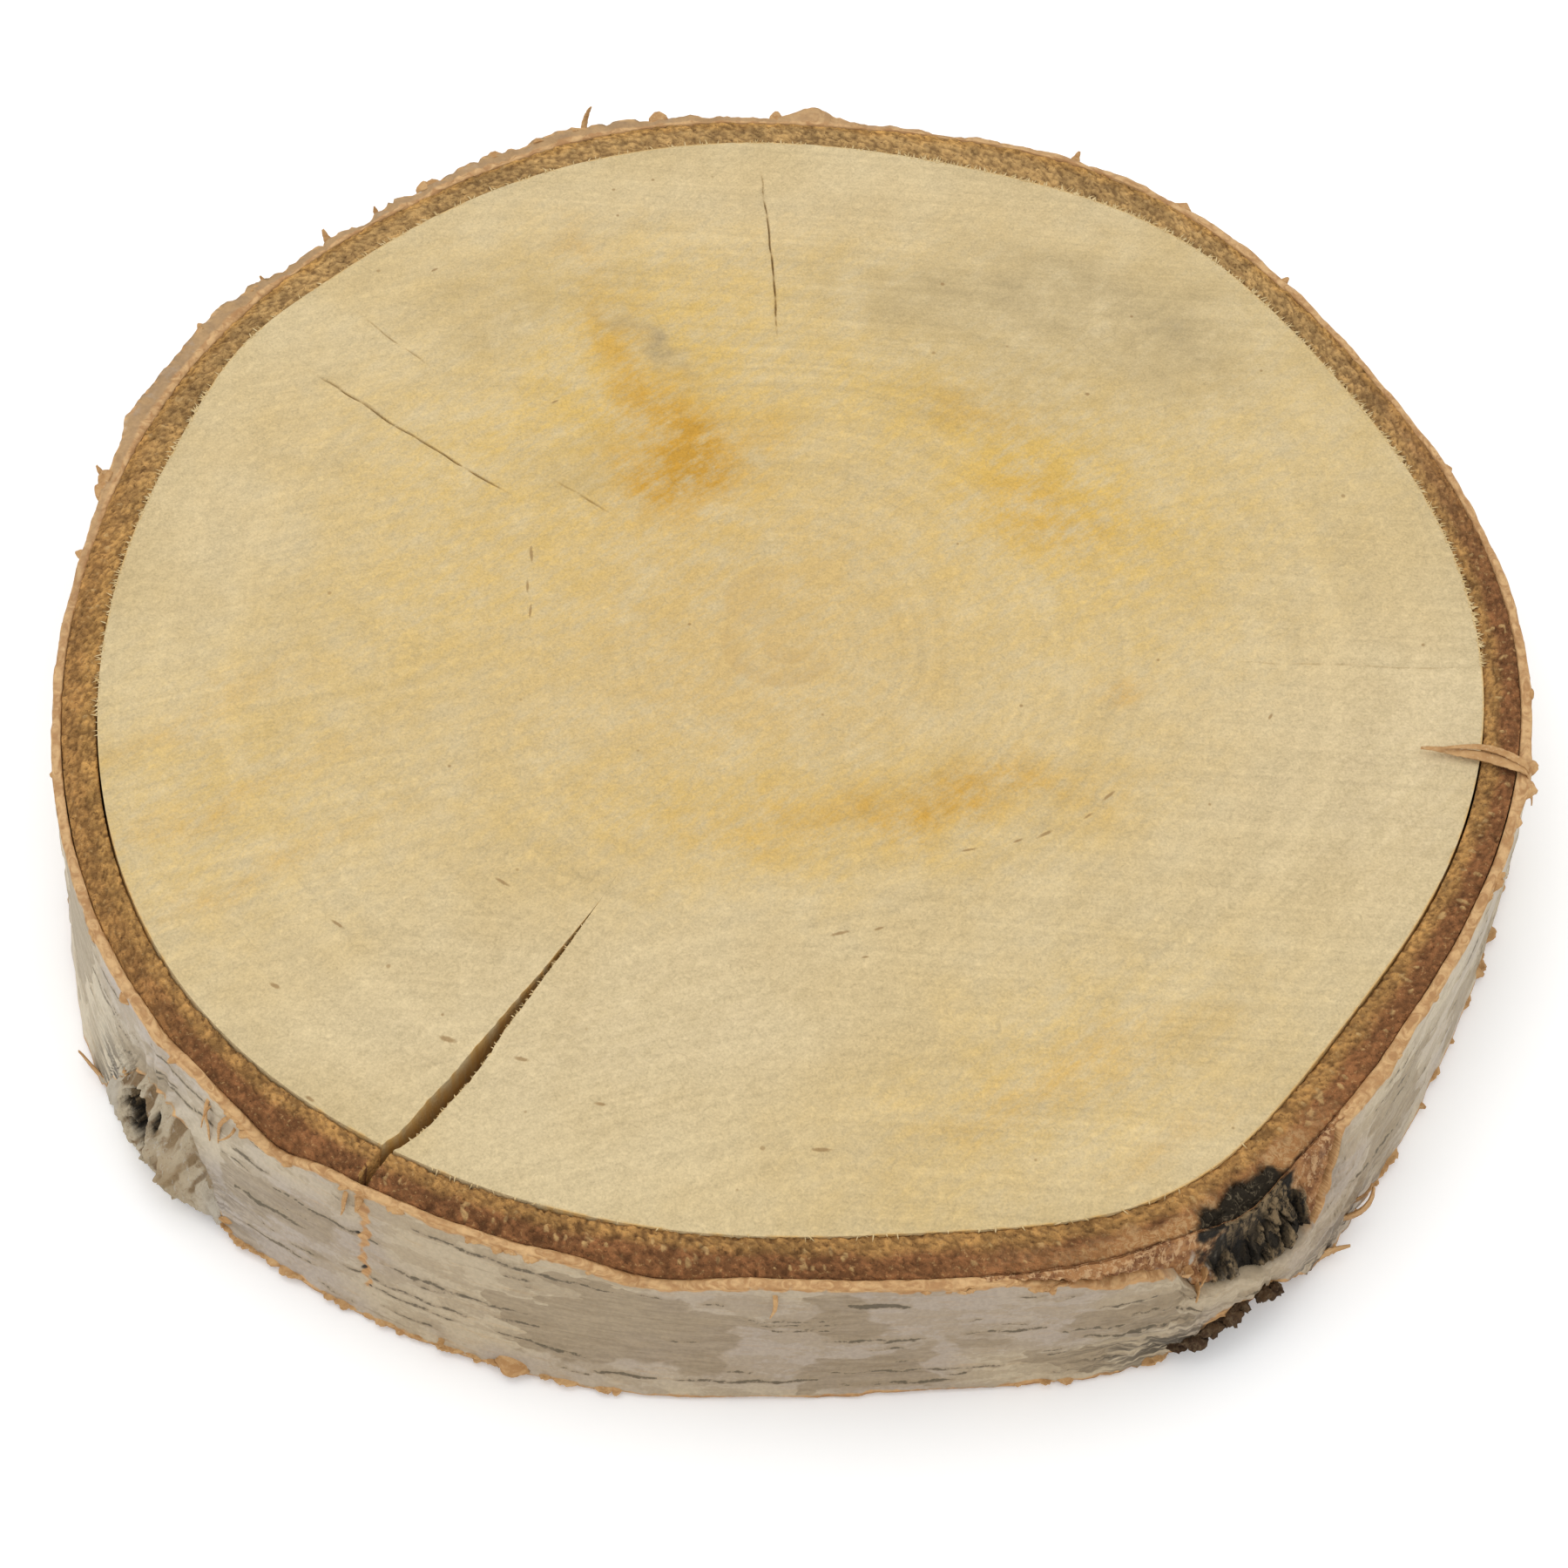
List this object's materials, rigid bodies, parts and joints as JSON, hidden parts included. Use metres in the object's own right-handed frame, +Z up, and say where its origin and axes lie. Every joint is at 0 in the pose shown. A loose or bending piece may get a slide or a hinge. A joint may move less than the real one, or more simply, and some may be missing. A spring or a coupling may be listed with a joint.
{
  "type": "birch wood slice",
  "caption": "Flat slice sawn across a birch trunk, with pale wood, brown inner bark, a peeling papery white rim, a drying split and bark knots",
  "frame": {"origin": "middle of the whole slice's box, on the surface that it lies on", "axes": "+Z up through the slice's thickness, out of the sawn face that shows; -Y towards the front of the picture, +X to its right"},
  "size_m": [0.2774, 0.287, 0.0341],
  "materials": {
    "wood": "dry rough-sawn end grain, fuzzy, with faint rings and stains",
    "inner_bark": "dry crumbly bark",
    "outer_bark": "matt papery bark with dark lenticels",
    "knot_bark": "rough fissured bark",
    "knot_fibre": "fibrous dead bark"
  },
  "bodies": {
    "root": {"wood": "wood", "inner_bark": "inner_bark", "outer_bark": "outer_bark", "knot_bark_front": "knot_bark", "knot_bark_left": "knot_fibre"}
  },
  "joints": []
}
